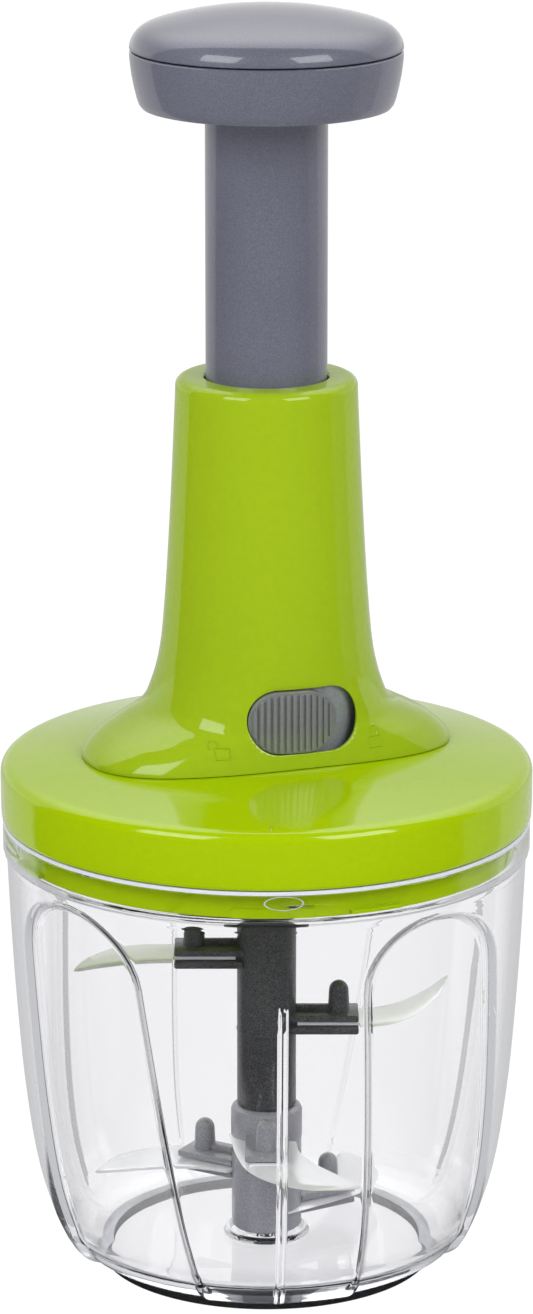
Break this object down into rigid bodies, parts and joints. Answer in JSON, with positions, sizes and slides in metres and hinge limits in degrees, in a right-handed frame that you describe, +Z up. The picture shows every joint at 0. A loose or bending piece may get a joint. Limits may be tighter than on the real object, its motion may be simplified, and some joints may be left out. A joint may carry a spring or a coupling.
{
  "type": "push-down food chopper",
  "caption": "Clear round bowl with arched panels and a screw-down lid; pressing the knob drives a spindle that spins curved blades, and a side button locks the plunger down.",
  "frame": {"origin": "on the table, under the middle of the bowl's rubber ring", "axes": "+Z up along the plunger; the lock button faces -Y; the housing's long side lies along X"},
  "size_m": [0.16, 0.16, 0.3842],
  "materials": {
    "clear_plastic": "clear, polished",
    "foot_rubber": "matt",
    "seal_rubber": "matt, translucent",
    "lid_plastic": "glossy",
    "housing_plastic": "glossy",
    "grey_plastic": "satin, fine speckle",
    "button_plastic": "satin",
    "carrier_plastic": "satin",
    "hub_plastic": "satin",
    "shaft_plastic": "satin",
    "bearing_plastic": "smooth",
    "stainless_steel": "polished",
    "screw_steel": "plated"
  },
  "bodies": {
    "bowl": {"bowl": "clear_plastic", "base_ring": "foot_rubber", "pivot_pin": "stainless_steel"},
    "blades": {"lower_hub": "hub_plastic", "hub_bush": "bearing_plastic", "lower_blade_1": "stainless_steel", "lower_blade_2": "stainless_steel", "lower_blade_3": "stainless_steel", "upper_shaft": "shaft_plastic", "upper_blade_1": "stainless_steel", "upper_blade_2": "stainless_steel"},
    "seal": {"lid_seal": "seal_rubber"},
    "lid": {"return_spring": "stainless_steel", "lid_cover": "lid_plastic", "lid_underplate": "lid_plastic", "lid_screw_1": "screw_steel", "lid_screw_2": "screw_steel", "lid_screw_3": "screw_steel", "housing": "housing_plastic", "housing_screw_1": "screw_steel", "housing_screw_2": "screw_steel", "housing_screw_3": "screw_steel", "housing_screw_4": "screw_steel", "guide_sleeve": "bearing_plastic", "spindle_bush": "bearing_plastic", "thrust_washer": "stainless_steel"},
    "drive": {"drive_socket": "shaft_plastic", "ratchet_driver": "hub_plastic", "drive_spindle": "stainless_steel", "spindle_clip": "stainless_steel", "spring_seat": "bearing_plastic"},
    "plunger": {"plunger_tube": "grey_plastic", "drive_nut": "bearing_plastic", "nut_retainer": "hub_plastic", "knob_base": "grey_plastic", "knob_cap": "grey_plastic", "knob_screw_1": "screw_steel", "knob_screw_2": "screw_steel", "knob_screw_3": "screw_steel"},
    "lock": {"lock_carrier": "carrier_plastic", "lock_button": "button_plastic"}
  },
  "joints": [
    {"name": "blade_spin", "type": "hinge", "parent": "bowl", "child": "blades", "pos_m": [0, 0, 0.03], "axis": [0, 0, 1], "range_deg": [-540, 0]},
    {"name": "lid_lift", "type": "slide", "parent": "bowl", "child": "seal", "axis": [0, 0, 1], "range_m": [0, 0.06]},
    {"name": "lid_turn", "type": "hinge", "parent": "seal", "child": "lid", "pos_m": [0, 0, 0.15], "axis": [0, 0, 1], "range_deg": [-15, 0]},
    {"name": "plunger_slide", "type": "slide", "parent": "lid", "child": "plunger", "axis": [0, 0, -1], "range_m": [0, 0.077], "stiffness_N_per_m": 250, "springref_m": -0.06, "deforming": ["return_spring"]},
    {"name": "drive_spin", "type": "hinge", "parent": "lid", "child": "drive", "pos_m": [0, 0, 0.2], "axis": [0, 0, 1], "range_deg": [-540, 0]},
    {"name": "lock_turn", "type": "hinge", "parent": "lid", "child": "lock", "pos_m": [0, 0, 0.178], "axis": [0, 0, 1], "range_deg": [0, 13.2]}
  ],
  "couplings": [
    {"joint": "drive_spin", "follows": "plunger_slide", "rad_per_m": -120.83},
    {"joint": "blade_spin", "follows": "plunger_slide", "rad_per_m": -120.83}
  ]
}
